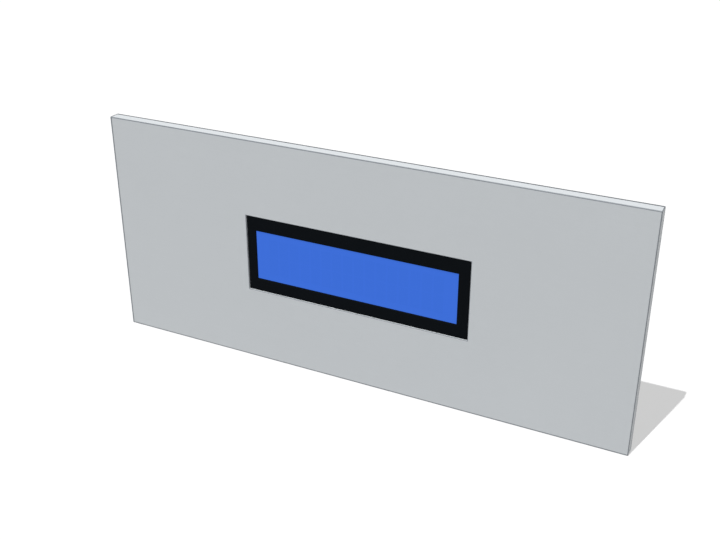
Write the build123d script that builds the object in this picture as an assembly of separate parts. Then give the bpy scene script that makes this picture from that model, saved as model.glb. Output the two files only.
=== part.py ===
from build123d import *
import math
import os

# A two-line character display fixed behind a plain front panel. Millimetres.
# +X runs to the viewer's right, +Y from the panel's face back into the case, +Z up.
# The origin is the middle of the panel's bottom edge.

# Front panel
PANEL_WIDTH = 166.5
PANEL_HEIGHT = 71.7
PANEL_THICKNESS = 3.7
PANEL_EDGE_BREAK = 0.15
CUTOUT_CLEARANCE = 0.1
# Corner radius of the cut-out over its clearance. Below 3.41 the bezel's square corner clears the arc.
CUTOUT_CORNER_FACTOR = 3.0
CUTOUT_EDGE_BREAK = 0.1

# Stamped bezel with its window, folded walls and twisted tabs
VIEW_WIDTH = 64.8
VIEW_HEIGHT = 15.75
BORDER_LEFT = 2.95
BORDER_RIGHT = 3.45
BORDER_TOP = 4.45
BORDER_BOTTOM = 4.0
BEZEL_RECESS = 0.2
BEZEL_SHEET = 0.4
BEZEL_BEND_RADIUS = 0.3
BEZEL_CORNER_NOTCH = 1.0
VIEW_EDGE_BREAK = 0.12
TAB_COUNT = 3
TAB_WIDTH = 2.6
TAB_TWIST_LENGTH = 1.5
TAB_TWIST_ANGLE = 40.0
TAB_SLOT_CLEARANCE = 0.25

# Display cell
GLASS_THICKNESS = 1.1
GLASS_CLEARANCE = 0.2
POLARISER_THICKNESS = 0.2
POLARISER_OVERLAP = 1.0
FILL_PLUG_LENGTH = 3.0
FILL_PLUG_PROUD = 0.12

# Elastomer contact strips between the front glass and the board
STRIP_WIDTH = 2.0
STRIP_INSET = 0.1
STRIP_GAP = 0.2
STRIP_END_GAP = 2.0

# Backlight
DIFFUSER_THICKNESS = 0.15
GUIDE_THICKNESS = 2.8
REFLECTOR_THICKNESS = 0.15
TRAY_FLOOR = 1.0
TRAY_WALL = 0.8
TRAY_FIT = 0.1
NOSE_WIDTH = 12.0
NOSE_REACH = 0.8
NOSE_CLEARANCE = 0.2
NOSE_PANEL_GAP = 0.3
LED_COUNT = 3
LED_LENGTH = 2.0
LED_HEIGHT = 1.2
LED_DEPTH = 0.8
LED_BOARD_THICKNESS = 0.6
LED_BOARD_MARGIN = 0.6
LEAD_SIZE = 0.5
LEAD_SPACING = 8.0
LEAD_PROJECTION = 1.0
LEAD_HOLE_CLEARANCE = 0.15

# Circuit board
BOARD_THICKNESS = 1.6
BOARD_MARGIN_SIDE = 4.4
BOARD_MARGIN_TOP = 5.9
FIXING_INSET = 2.5
FIXING_HOLE_CLEARANCE = 0.25

# Pin header
HEADER_PINS = 16
HEADER_PITCH = 2.54
HEADER_START = 8.0
HEADER_INSET = 2.5
HEADER_BODY = 2.5
HEADER_BODY_NOTCH = 0.45
PIN_SIZE = 0.64
PIN_TIP = 0.16
PIN_PROJECTION = 6.0
PIN_SOLDER_PROJECTION = 1.3
PIN_HOLE_CLEARANCE = 0.05
# Sides of each small header hole, which solder fills and the insulator hides
PIN_HOLE_SIDES = 12

# Resin covers over the controller and driver dies. The spread is a share of the board's width.
COVER_RADIUS = 7.4
COVER_HEIGHT = 1.7
COVER_RIM = 0.5
COVER_BANDS = 4
COVER_SPREAD = 0.4
COVER_DROP = 1.2

# Chip parts on the back of the board
CHIP_LENGTH = 2.0
CHIP_WIDTH = 1.25
RESISTOR_HEIGHT = 0.5
CAPACITOR_HEIGHT = 0.9
LADDER_COUNT = 5
LADDER_PITCH = 2.4
SIDE_CHIP_INSET = 12.6
SIDE_CHIP_PITCH = 3.2

# Studs, sleeves, washers and nuts that hold the board to the panel
STUD_DIAMETER = 2.5
STUD_FLANGE_DIAMETER = 4.0
STUD_FLANGE_THICKNESS = 0.8
STUD_PROJECTION = 1.0
STUD_TIP = 0.3
SLEEVE_FIT = 0.1
SLEEVE_WALL = 1.1
WASHER_WIDTH = 1.15
WASHER_THICKNESS = 0.5
NUT_ACROSS_FLATS = 5.0
NUT_HEIGHT = 2.0
NUT_THREAD_CLEARANCE = 0.02

# Sizes that follow, seen from the front
bezel_width = VIEW_WIDTH + BORDER_LEFT + BORDER_RIGHT
bezel_height = VIEW_HEIGHT + BORDER_TOP + BORDER_BOTTOM
view_x = (BORDER_LEFT - BORDER_RIGHT) / 2
view_z = (BORDER_BOTTOM - BORDER_TOP) / 2
cutout_width = bezel_width + 2 * CUTOUT_CLEARANCE
cutout_height = bezel_height + 2 * CUTOUT_CLEARANCE
cutout_corner_radius = CUTOUT_CORNER_FACTOR * CUTOUT_CLEARANCE
inner_width = bezel_width - 2 * BEZEL_SHEET
inner_height = bezel_height - 2 * BEZEL_SHEET
glass_width = inner_width - 2 * GLASS_CLEARANCE
front_glass_height = inner_height - 2 * GLASS_CLEARANCE
strip_z = front_glass_height / 2 - STRIP_INSET - STRIP_WIDTH / 2
rear_glass_height = 2 * (strip_z - STRIP_WIDTH / 2 - STRIP_GAP)
pocket_width = glass_width - 2 * TRAY_WALL
pocket_height = rear_glass_height - 2 * TRAY_WALL
guide_width = pocket_width - 2 * TRAY_FIT
guide_height = pocket_height - 2 * TRAY_FIT
board_width = bezel_width + 2 * BOARD_MARGIN_SIDE
board_height = bezel_height + 2 * BOARD_MARGIN_TOP
display_z = PANEL_HEIGHT / 2

# Depths that follow, from the panel's face to the back of the board
panel_front_y = -PANEL_THICKNESS / 2
panel_back_y = PANEL_THICKNESS / 2
bezel_y = panel_front_y + BEZEL_RECESS
front_polariser_y = bezel_y + BEZEL_SHEET
front_glass_y = front_polariser_y + POLARISER_THICKNESS
rear_glass_y = front_glass_y + GLASS_THICKNESS
rear_polariser_y = rear_glass_y + GLASS_THICKNESS
diffuser_y = rear_polariser_y + POLARISER_THICKNESS
guide_y = diffuser_y + DIFFUSER_THICKNESS
reflector_y = guide_y + GUIDE_THICKNESS
nose_y = max(guide_y, panel_back_y + NOSE_PANEL_GAP)
tray_floor_y = reflector_y + REFLECTOR_THICKNESS
board_y = tray_floor_y + TRAY_FLOOR
board_back_y = board_y + BOARD_THICKNESS

# Places that follow, relative to the middle of the display
tab_z = bezel_height / 2 - BEZEL_SHEET / 2
tab_xs = [bezel_width * ((i + 0.5) / TAB_COUNT - 0.5) for i in range(TAB_COUNT)]
fixing_x = board_width / 2 - FIXING_INSET
fixing_z = board_height / 2 - FIXING_INSET
fixing_points = [(-fixing_x, fixing_z), (fixing_x, fixing_z), (-fixing_x, -fixing_z), (fixing_x, -fixing_z)]
header_z = board_height / 2 - HEADER_INSET
header_xs = [HEADER_START - board_width / 2 + HEADER_PITCH * i for i in range(HEADER_PINS)]
pin_hole_radius = PIN_SIZE / math.sqrt(2) + PIN_HOLE_CLEARANCE
nose_end_x = bezel_width / 2 + NOSE_REACH
led_board_x = nose_end_x + LED_DEPTH
lead_x = led_board_x + LED_BOARD_THICKNESS + LEAD_SIZE / 2
lead_zs = [-LEAD_SPACING / 2, LEAD_SPACING / 2]
lead_hole_radius = LEAD_SIZE / math.sqrt(2) + LEAD_HOLE_CLEARANCE
led_zs = [NOSE_WIDTH * ((i + 0.5) / LED_COUNT - 0.5) for i in range(LED_COUNT)]
cover_xs = [-COVER_SPREAD * board_width / 2, COVER_SPREAD * board_width / 2]
side_chip_x = board_width / 2 - SIDE_CHIP_INSET


def facing(y):
    """Plane at depth y that looks at the viewer, with the display's middle as its origin."""
    return Plane(origin=(0, y, display_z), x_dir=(1, 0, 0), z_dir=(0, -1, 0))


def slab(outline, y, thickness):
    """Outline seen from the front, carried back from depth y."""
    return extrude(facing(y + thickness) * outline, amount=thickness)


def front_panel():
    """Plate with all its edges broken and one cut-out, whose front edge is broken too."""
    middle = Pos(0, 0, display_z)
    plate = middle * Box(PANEL_WIDTH, PANEL_THICKNESS, PANEL_HEIGHT)
    plate = chamfer(plate.edges(), PANEL_EDGE_BREAK)
    outline = RectangleRounded(cutout_width, cutout_height, cutout_corner_radius)
    plate -= slab(outline, panel_front_y, PANEL_THICKNESS)
    front_edges = plate.faces().sort_by(Axis.Y)[0].inner_wires()[0].edges()
    return chamfer(front_edges, CUTOUT_EDGE_BREAK)


def twisted_tab(x, side):
    """Tab that leaves a long wall, passes through the board and turns about its own axis behind it."""
    straight = Pos(x, (board_y + board_back_y) / 2, display_z + side * tab_z)
    tab = straight * Box(TAB_WIDTH, BOARD_THICKNESS, BEZEL_SHEET)
    section = facing(board_back_y) * Pos(x, side * tab_z) * Rectangle(TAB_WIDTH, BEZEL_SHEET)
    foot = Vector(x, board_back_y, display_z + side * tab_z)
    rise = Vector(0, TAB_TWIST_LENGTH, 0)
    turned = Solid.extrude_linear_with_rotation(section.face(), foot, rise, side * TAB_TWIST_ANGLE)
    return tab + Part([turned])


def metal_bezel():
    """Folded frame: face with a window, four walls parted at notched corners, tabs on the long walls."""
    depth = board_y - bezel_y
    outer = slab(Rectangle(bezel_width, bezel_height), bezel_y, depth)
    outer = fillet(outer.faces().sort_by(Axis.Y)[0].edges(), BEZEL_BEND_RADIUS)
    shell = outer - slab(Rectangle(inner_width, inner_height), front_polariser_y, depth)
    shell -= slab(Pos(view_x, view_z) * Rectangle(VIEW_WIDTH, VIEW_HEIGHT), bezel_y, BEZEL_SHEET)
    window = shell.faces().sort_by(Axis.Y)[0].inner_wires()[0].edges()
    shell = chamfer(window, VIEW_EDGE_BREAK)
    notch = Rectangle(2 * BEZEL_CORNER_NOTCH, 2 * BEZEL_CORNER_NOTCH)
    corners = GridLocations(bezel_width, bezel_height, 2, 2)
    notch_y = front_polariser_y + BEZEL_CORNER_NOTCH
    shell -= slab(Sketch() + corners * notch, notch_y, depth)
    nose_gap = NOSE_WIDTH + 2 * NOSE_CLEARANCE
    gap_y = nose_y - NOSE_CLEARANCE
    gap = Pos(bezel_width / 2, (gap_y + board_y) / 2, display_z)
    shell -= gap * Box(4 * BEZEL_SHEET, board_y - gap_y, nose_gap)
    for x in tab_xs:
        for side in (-1, 1):
            shell += twisted_tab(x, side)
    return shell


def fill_port_plug():
    """Bead of resin that seals the cell's short end across both panes."""
    middle = Pos(-(glass_width + FILL_PLUG_PROUD) / 2, rear_glass_y, display_z)
    return middle * Box(FILL_PLUG_PROUD, GLASS_THICKNESS, FILL_PLUG_LENGTH)


def contact_strip(side):
    """Square-cut bar of layered elastomer, pressed between the front glass and the board."""
    length = glass_width - 2 * STRIP_END_GAP
    outline = Pos(0, side * strip_z) * Rectangle(length, STRIP_WIDTH)
    return slab(outline, rear_glass_y, board_y - rear_glass_y)


def light_guide():
    """Clear plate with a nose on its right that leaves the bezel, behind the panel, to meet the LEDs."""
    plate = slab(Rectangle(guide_width, guide_height), guide_y, GUIDE_THICKNESS)
    nose = Pos(nose_end_x / 2, 0) * Rectangle(nose_end_x, NOSE_WIDTH)
    return plate + slab(nose, nose_y, reflector_y - nose_y)


def backlight_tray():
    """White tray that holds the guide and its sheets, open towards the glass and at the nose."""
    block = slab(Rectangle(glass_width, rear_glass_height), rear_polariser_y, board_y - rear_polariser_y)
    block -= slab(Rectangle(pocket_width, pocket_height), rear_polariser_y, tray_floor_y - rear_polariser_y)
    door = Pos(glass_width / 2, 0) * Rectangle(4 * TRAY_WALL, NOSE_WIDTH + 2 * TRAY_FIT)
    return block - slab(door, rear_polariser_y, tray_floor_y - rear_polariser_y)


def led_board():
    """Upright strip that faces the guide's nose and stands on the circuit board."""
    width = NOSE_WIDTH + 2 * LED_BOARD_MARGIN
    middle = Pos(led_board_x + LED_BOARD_THICKNESS / 2, (nose_y + board_y) / 2, display_z)
    return middle * Box(LED_BOARD_THICKNESS, board_y - nose_y, width)


def led_chip(z):
    """White LED package between the nose and the strip."""
    middle = Pos(nose_end_x + LED_DEPTH / 2, (nose_y + reflector_y) / 2, display_z + z)
    return middle * Box(LED_DEPTH, LED_HEIGHT, LED_LENGTH)


def backlight_leads():
    """Two square leads on the strip's outer face that pass through the circuit board."""
    start = (nose_y + reflector_y) / 2
    outline = Sketch() + [Pos(lead_x, z) * Rectangle(LEAD_SIZE, LEAD_SIZE) for z in lead_zs]
    return slab(outline, start, board_back_y + LEAD_PROJECTION - start)


def circuit_board():
    """Board with fixing holes, header holes, slots for the bezel's tabs and two lead holes."""
    outline = Rectangle(board_width, board_height)
    fixing_radius = STUD_DIAMETER / 2 + FIXING_HOLE_CLEARANCE
    outline -= [Pos(x, z) * Circle(fixing_radius) for x, z in fixing_points]
    pin_hole = RegularPolygon(pin_hole_radius, PIN_HOLE_SIDES, major_radius=False)
    outline -= [Pos(x, header_z) * pin_hole for x in header_xs]
    outline -= [Pos(lead_x, z) * Circle(lead_hole_radius) for z in lead_zs]
    slot = Rectangle(TAB_WIDTH + 2 * TAB_SLOT_CLEARANCE, BEZEL_SHEET + 2 * TAB_SLOT_CLEARANCE)
    outline -= [Pos(x, side * tab_z) * slot for x in tab_xs for side in (-1, 1)]
    return slab(outline, board_y, BOARD_THICKNESS)


def header_insulator():
    """Row of moulded cells with bevelled corners, one for each pin."""
    cell = chamfer(Rectangle(HEADER_PITCH, HEADER_BODY).vertices(), HEADER_BODY_NOTCH)
    outline = Sketch() + [Pos(x, header_z) * cell for x in header_xs]
    outline -= [Pos(x, header_z) * Rectangle(PIN_SIZE, PIN_SIZE) for x in header_xs]
    return slab(outline, board_back_y, HEADER_BODY)


def header_pin(x):
    """Square pin with bevelled tips, from its soldered end to the end that a socket takes."""
    start = board_y - PIN_SOLDER_PROJECTION
    length = board_back_y + HEADER_BODY + PIN_PROJECTION - start
    pin = slab(Pos(x, header_z) * Rectangle(PIN_SIZE, PIN_SIZE), start, length)
    ends = pin.faces().sort_by(Axis.Y)
    return chamfer(ends[0].edges() + ends[-1].edges(), PIN_TIP)


def resin_cover(x):
    """Shallow dome of black resin, in conical bands above a low straight rim."""
    rise = COVER_HEIGHT - COVER_RIM
    radius = (COVER_RADIUS**2 + rise**2) / (2 * rise)
    spread = math.asin(COVER_RADIUS / radius)
    angles = [spread * i / COVER_BANDS for i in range(COVER_BANDS + 1)]
    cap = [(radius * math.sin(angle), COVER_HEIGHT - radius + radius * math.cos(angle)) for angle in angles]
    profile = make_face(Polyline((0, 0), *cap, (COVER_RADIUS, 0), close=True))
    seat = Plane(origin=(x, board_back_y, display_z - COVER_DROP), x_dir=(1, 0, 0), z_dir=(0, 1, 0))
    return seat * revolve(Plane.XZ * profile, Axis.Z)


def chip(x, z, height, upright):
    """Ceramic chip part on the back of the board."""
    size = (CHIP_WIDTH, CHIP_LENGTH) if upright else (CHIP_LENGTH, CHIP_WIDTH)
    return slab(Pos(x, z) * Rectangle(*size), board_back_y, height)


def panel_stud(x, z):
    """Threaded stud welded to the panel's back by its flange."""
    length = board_back_y + WASHER_THICKNESS + NUT_HEIGHT + STUD_PROJECTION - panel_back_y
    stud = slab(Pos(x, z) * Circle(STUD_DIAMETER / 2), panel_back_y, length)
    stud = chamfer(stud.faces().sort_by(Axis.Y)[-1].edges(), STUD_TIP)
    return stud + slab(Pos(x, z) * Circle(STUD_FLANGE_DIAMETER / 2), panel_back_y, STUD_FLANGE_THICKNESS)


def spacer_sleeve(x, z):
    """Plain tube over the stud that sets the board's distance from the panel."""
    bore = STUD_DIAMETER / 2 + SLEEVE_FIT
    start = panel_back_y + STUD_FLANGE_THICKNESS
    outline = Circle(bore + SLEEVE_WALL) - Circle(bore)
    return slab(Pos(x, z) * outline, start, board_y - start)


def washer(x, z):
    """Flat ring under the nut."""
    bore = STUD_DIAMETER / 2 + SLEEVE_FIT
    outline = Circle(bore + WASHER_WIDTH) - Circle(bore)
    return slab(Pos(x, z) * outline, board_back_y, WASHER_THICKNESS)


def hex_nut(x, z):
    """Hexagon nut that clears the stud's plain thread."""
    outline = RegularPolygon(NUT_ACROSS_FLATS / 2, 6, major_radius=False)
    outline -= Circle(STUD_DIAMETER / 2 + NUT_THREAD_CLEARANCE)
    return slab(Pos(x, z) * outline, board_back_y + WASHER_THICKNESS, NUT_HEIGHT)


def fixings():
    """The four sets of stud, sleeve, washer and nut, by corner."""
    found = {}
    for number, (x, z) in enumerate(fixing_points, start=1):
        found[f"panel_stud_{number}"] = panel_stud(x, z)
        found[f"spacer_sleeve_{number}"] = spacer_sleeve(x, z)
        found[f"washer_{number}"] = washer(x, z)
        found[f"hex_nut_{number}"] = hex_nut(x, z)
    return found


def display_cell():
    """Panes, films and the resin that closes the cell."""
    front_film = Rectangle(VIEW_WIDTH + 2 * POLARISER_OVERLAP, VIEW_HEIGHT + 2 * POLARISER_OVERLAP)
    rear_film = Rectangle(guide_width, guide_height)
    return {
        "front_polariser": slab(Pos(view_x, view_z) * front_film, front_polariser_y, POLARISER_THICKNESS),
        "front_glass": slab(Rectangle(glass_width, front_glass_height), front_glass_y, GLASS_THICKNESS),
        "rear_glass": slab(Rectangle(glass_width, rear_glass_height), rear_glass_y, GLASS_THICKNESS),
        "rear_polariser": slab(rear_film, rear_polariser_y, POLARISER_THICKNESS),
        "fill_port_plug": fill_port_plug(),
        "contact_strip_top": contact_strip(1),
        "contact_strip_bottom": contact_strip(-1),
    }


def backlight():
    """Tray with its sheets and guide, and the LED strip at the guide's nose."""
    pieces = {
        "diffuser_sheet": slab(Rectangle(guide_width, guide_height), diffuser_y, DIFFUSER_THICKNESS),
        "light_guide": light_guide(),
        "reflector_sheet": slab(Rectangle(guide_width, guide_height), reflector_y, REFLECTOR_THICKNESS),
        "backlight_tray": backlight_tray(),
        "led_board": led_board(),
        "backlight_leads": backlight_leads(),
    }
    for number, z in enumerate(led_zs, start=1):
        pieces[f"led_chip_{number}"] = led_chip(z)
    return pieces


def board_parts():
    """Circuit board with the header, the resin covers and the chip parts."""
    pieces = {
        "circuit_board": circuit_board(),
        "header_insulator": header_insulator(),
        "header_pins": Compound(children=[header_pin(x) for x in header_xs]),
        "controller_cover": resin_cover(cover_xs[0]),
        "driver_cover": resin_cover(cover_xs[1]),
    }
    for i in range(LADDER_COUNT):
        x = LADDER_PITCH * (i - (LADDER_COUNT - 1) / 2)
        pieces[f"ladder_resistor_{i + 1}"] = chip(x, -COVER_DROP, RESISTOR_HEIGHT, True)
    side_places = [SIDE_CHIP_PITCH * i - COVER_DROP for i in (1, 0, -1)]
    pieces["clock_resistor"] = chip(side_chip_x, side_places[0], RESISTOR_HEIGHT, False)
    pieces["supply_capacitor"] = chip(side_chip_x, side_places[1], CAPACITOR_HEIGHT, False)
    pieces["backlight_resistor"] = chip(side_chip_x, side_places[2], RESISTOR_HEIGHT, False)
    return pieces


def whole_display():
    """Every piece of the object by the name of its node."""
    return {
        "front_panel": front_panel(),
        "metal_bezel": metal_bezel(),
        **display_cell(),
        **backlight(),
        **board_parts(),
        **fixings(),
    }


os.makedirs("parts", exist_ok=True)
for name, piece in whole_display().items():
    export_step(piece, f"parts/{name}.step")
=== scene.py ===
"""Looks of a plain front panel with a two-line character display bolted behind it.

Sizes in the classes are millimetres in the frame's axes: +X to the viewer's right along the panel,
+Y from the panel's face back into the case, +Z up. Meshes are worked out as whole numpy arrays and
put into Blender in metres.
"""

import functools
import logging
import math
from dataclasses import dataclass
from enum import Enum, IntEnum

import bmesh
import bpy
import numpy as np
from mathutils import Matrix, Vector


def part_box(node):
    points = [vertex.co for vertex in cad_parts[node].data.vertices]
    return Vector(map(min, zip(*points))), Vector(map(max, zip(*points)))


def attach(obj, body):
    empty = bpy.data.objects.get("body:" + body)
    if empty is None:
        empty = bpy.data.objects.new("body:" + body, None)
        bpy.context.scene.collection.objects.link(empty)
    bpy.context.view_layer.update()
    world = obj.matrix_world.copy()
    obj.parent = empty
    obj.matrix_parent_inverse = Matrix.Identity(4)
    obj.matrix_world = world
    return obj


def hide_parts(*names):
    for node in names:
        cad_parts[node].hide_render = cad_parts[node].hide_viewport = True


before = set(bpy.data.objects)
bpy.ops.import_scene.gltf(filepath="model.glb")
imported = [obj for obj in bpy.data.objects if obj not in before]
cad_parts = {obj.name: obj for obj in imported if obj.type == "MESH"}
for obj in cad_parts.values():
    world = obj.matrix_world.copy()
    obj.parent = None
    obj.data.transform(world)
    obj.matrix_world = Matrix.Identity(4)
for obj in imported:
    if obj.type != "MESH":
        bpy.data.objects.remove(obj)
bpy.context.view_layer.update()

LOG = logging.getLogger("character_display")
MM = 0.001
BODY = "root"
SHARP_ANGLE = math.radians(38)
BEVEL_STEPS = 2
MERGE_DISTANCE = 2e-8
MIDDLE_Z = sum(corner.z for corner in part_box("front_panel")) / 2 / MM

# Parts on the board's back, from the display's middle
COVER_X = 16.0
COVER_Z = -1.2
LADDER_XS = (-4.8, -2.4, 0.0, 2.4, 4.8)
SIDE_CHIP_X = 27.4
SIDE_CHIP_ZS = (2.0, -1.2, -4.4)

# Detail of the two noises, and the range that the slow one mostly keeps to
GRAIN_DETAIL = 3.0
DRIFT_DETAIL = 2.0
DRIFT_RANGE = (0.3, 0.7)

WHITE = (1.0, 1.0, 1.0, 1.0)
BLACK = (0.0, 0.0, 0.0, 1.0)
Socket = bpy.types.NodeSocket
Point = tuple[float, float]


def light(colour: tuple[int, int, int]) -> tuple[float, float, float, float]:
    """Turns a colour of 0 to 255 as seen on a screen into linear light, by the usual screen curve.

    Args:
        colour: Red, green and blue.

    Returns:
        Linear red, green and blue, with full alpha.
    """
    part = np.array(colour) / 255
    linear = np.where(part <= 0.04045, part / 12.92, ((part + 0.055) / 1.055) ** 2.4)
    return (*linear.tolist(), 1.0)


# Shapes


@dataclass
class Shape:
    """Points in millimetres, and faces as arrays of point numbers, one array for each count of corners."""

    points: np.ndarray
    faces: list[np.ndarray]

    @staticmethod
    def joined(shapes: list["Shape"]) -> "Shape":
        """Puts several shapes into one.

        Args:
            shapes: The shapes, in order.

        Returns:
            One shape with all their points and faces.
        """
        starts = np.cumsum([0] + [len(shape.points) for shape in shapes])
        faces = [block + start for shape, start in zip(shapes, starts) for block in shape.faces]
        return Shape(np.concatenate([shape.points for shape in shapes]), faces)


def from_middle(places: np.ndarray | list) -> np.ndarray:
    """Carries (x, z) from the display's middle into the frame."""
    return np.asarray(places, float) + [0, MIDDLE_Z]


def runs(*lines: list[Point] | tuple[Point, ...]) -> np.ndarray:
    """Cuts bent lines into straight ones.

    Args:
        *lines: The (x, z) points of each bent line, in order.

    Returns:
        Lines as (x, z, x, z).
    """
    return np.concatenate([np.hstack([line[:-1], line[1:]]) for line in lines])


def grid_quads(count: int, rows: int, columns: int, close_rows: bool) -> np.ndarray:
    """Numbers the quads of several equal grids whose columns close into rings.

    Point (n, i, j) has the number (n * rows + i) * columns + j, and each quad joins rows i and i + 1.

    Args:
        count: How many grids there are.
        rows: Rows of points in each.
        columns: Points round each row.
        close_rows: Whether the last row joins the first.

    Returns:
        Quads as an array of four point numbers each.
    """
    i = np.arange(rows if close_rows else rows - 1)[:, None]
    j = np.arange(columns)[None, :]
    after_i, after_j = (i + 1) % rows, (j + 1) % columns
    corners = (i * columns + j, after_i * columns + j, after_i * columns + after_j, i * columns + after_j)
    quads = np.stack([np.broadcast_to(corner, (len(i), columns)) for corner in corners], -1).reshape(-1, 4)
    starts = np.arange(count)[:, None, None] * rows * columns
    return (quads[None] + starts).reshape(-1, 4)


def turned(places: np.ndarray, radii: np.ndarray, heights: np.ndarray, columns: int, ring: bool) -> Shape:
    """Turns a profile about an axis along Y through each place.

    Row i stands at height h_i, and its point at angle a lies at (x + r cos a, h, z + r sin a). A
    radius or height may itself depend on the angle.

    Args:
        places: One (x, z) for each copy.
        radii: Radius of each row, or of each row and column.
        heights: Y of each row, or of each row and column.
        columns: Points round the axis.
        ring: Whether the profile is closed, as on a washer. Otherwise its ends are at the axis.

    Returns:
        The shape of all the copies.
    """
    places = np.asarray(places, float).reshape(-1, 2)
    angle = np.linspace(0, 2 * np.pi, columns, endpoint=False)[None, :]
    radius = np.asarray(radii, float)
    radius = radius if radius.ndim == 2 else radius[:, None]
    height = np.asarray(heights, float)
    height = height if height.ndim == 2 else height[:, None]
    rows = len(radius)
    height = np.broadcast_to(height, (rows, columns))
    x = places[:, 0, None, None] + radius * np.cos(angle)
    z = places[:, 1, None, None] + radius * np.sin(angle)
    y = np.broadcast_to(height, x.shape)
    points = np.stack([x, y, z], -1).reshape(-1, 3)
    return Shape(points, [grid_quads(len(places), rows, columns, ring)])


def prisms(front: np.ndarray, back: np.ndarray) -> Shape:
    """Joins each outline to its partner by quads round the side and closes both with a face.

    Args:
        front: Outlines, copies by corners by (x, y, z).
        back: Partner outlines, of the same size.

    Returns:
        The shape of all the prisms.
    """
    count, corners = front.shape[:2]
    points = np.stack([front, back], 1).reshape(-1, 3)
    sides = grid_quads(count, 2, corners, False)
    caps = np.arange(2 * count * corners).reshape(2 * count, corners)
    caps[::2] = caps[::2, ::-1]
    return Shape(points, [sides, caps])


def plates(outlines: np.ndarray, near_y: float, far_y: float | np.ndarray) -> Shape:
    """Gives flat outlines a thickness along Y.

    Args:
        outlines: Outlines, copies by corners by (x, z).
        near_y: Y of the side that touches the board or panel.
        far_y: Y of the other side, one value or one for each copy.

    Returns:
        The shape of all the plates.
    """
    far = np.broadcast_to(np.asarray(far_y, float).reshape(-1, 1), outlines.shape[:2])
    near = np.full(outlines.shape[:2], near_y)
    x, z = outlines[..., 0], outlines[..., 1]
    return prisms(np.stack([x, near, z], -1), np.stack([x, far, z], -1))


def strokes(lines: np.ndarray, width: float, end_points: int = 6) -> np.ndarray:
    """Outlines straight strokes with round ends.

    Each end is half a circle about the line's end, from 90 degrees on one side of the line's
    direction to 90 degrees on the other.

    Args:
        lines: Lines as (x, z, x, z).
        width: Width of each stroke.
        end_points: Points on each round end.

    Returns:
        Outlines, lines by corners by (x, z).
    """
    start, end = lines[:, None, :2], lines[:, None, 2:]
    along = np.arctan2(lines[:, 3] - lines[:, 1], lines[:, 2] - lines[:, 0])[:, None]
    half_turn = np.linspace(-np.pi / 2, np.pi / 2, end_points)[None, :]
    far = end + width / 2 * np.stack([np.cos(along + half_turn), np.sin(along + half_turn)], -1)
    near = start - width / 2 * np.stack([np.cos(along + half_turn), np.sin(along + half_turn)], -1)
    return np.concatenate([far, near], 1)


def rounded_blocks(
    centres: np.ndarray, sizes: tuple[float, float, float], radius: float, steps: int = 3
) -> Shape:
    """Makes boxes whose edges and corners are round.

    A ball of the given radius is cut into eight, and each eighth moves out to a corner of the box:
    point = sign * (half size - radius) + radius * direction.

    Args:
        centres: Middle of each box, (x, y, z).
        sizes: Whole sizes along x, y and z.
        radius: Radius of the edges.
        steps: Pieces of each quarter turn.

    Returns:
        The shape of all the boxes.
    """
    quarter = np.linspace(0, np.pi / 2, steps + 1)
    around = np.concatenate([quarter + k * np.pi / 2 for k in range(4)])
    side_x = np.repeat([1, -1, -1, 1], steps + 1)
    side_z = np.repeat([1, 1, -1, -1], steps + 1)
    tilt = np.concatenate([quarter - np.pi / 2, quarter])[:, None]
    level = np.repeat([-1, 1], steps + 1)[:, None]
    inner = np.array(sizes) / 2 - radius
    x = side_x * inner[0] + radius * np.cos(tilt) * np.cos(around)
    z = side_z * inner[2] + radius * np.cos(tilt) * np.sin(around)
    y = level * inner[1] + radius * np.sin(tilt) + 0 * x
    ball = np.stack([x, y, z], -1)
    caps = np.zeros((1, ball.shape[1], 3))
    low, high = caps + [0, -sizes[1] / 2, 0], caps + [0, sizes[1] / 2, 0]
    rows = np.concatenate([low, ball, high])
    points = (np.asarray(centres, float).reshape(-1, 1, 1, 3) + rows).reshape(-1, 3)
    return Shape(points, [grid_quads(len(points) // rows[..., 0].size, *rows.shape[:2], False)])


def rim_profile(
    inner: float, outer: float, low: float, high: float, edge: float, steps: int = 3
) -> tuple[np.ndarray, np.ndarray]:
    """Section of a ring with round edges: a rectangle whose corners are quarter circles.

    Args:
        inner: Bore radius.
        outer: Outer radius.
        low: Y of the near face.
        high: Y of the far face.
        edge: Radius of the edges.
        steps: Pieces of each quarter circle.

    Returns:
        Radii and heights of the section's points, in order round it.
    """
    turn = np.linspace(0, np.pi / 2, steps + 1)
    angle = np.concatenate([turn + k * np.pi / 2 for k in range(4)])
    middle_r = np.repeat([outer - edge, inner + edge, inner + edge, outer - edge], steps + 1)
    middle_y = np.repeat([high - edge, high - edge, low + edge, low + edge], steps + 1)
    return middle_r + edge * np.cos(angle), middle_y + edge * np.sin(angle)


# Nodes of the finishes


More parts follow.
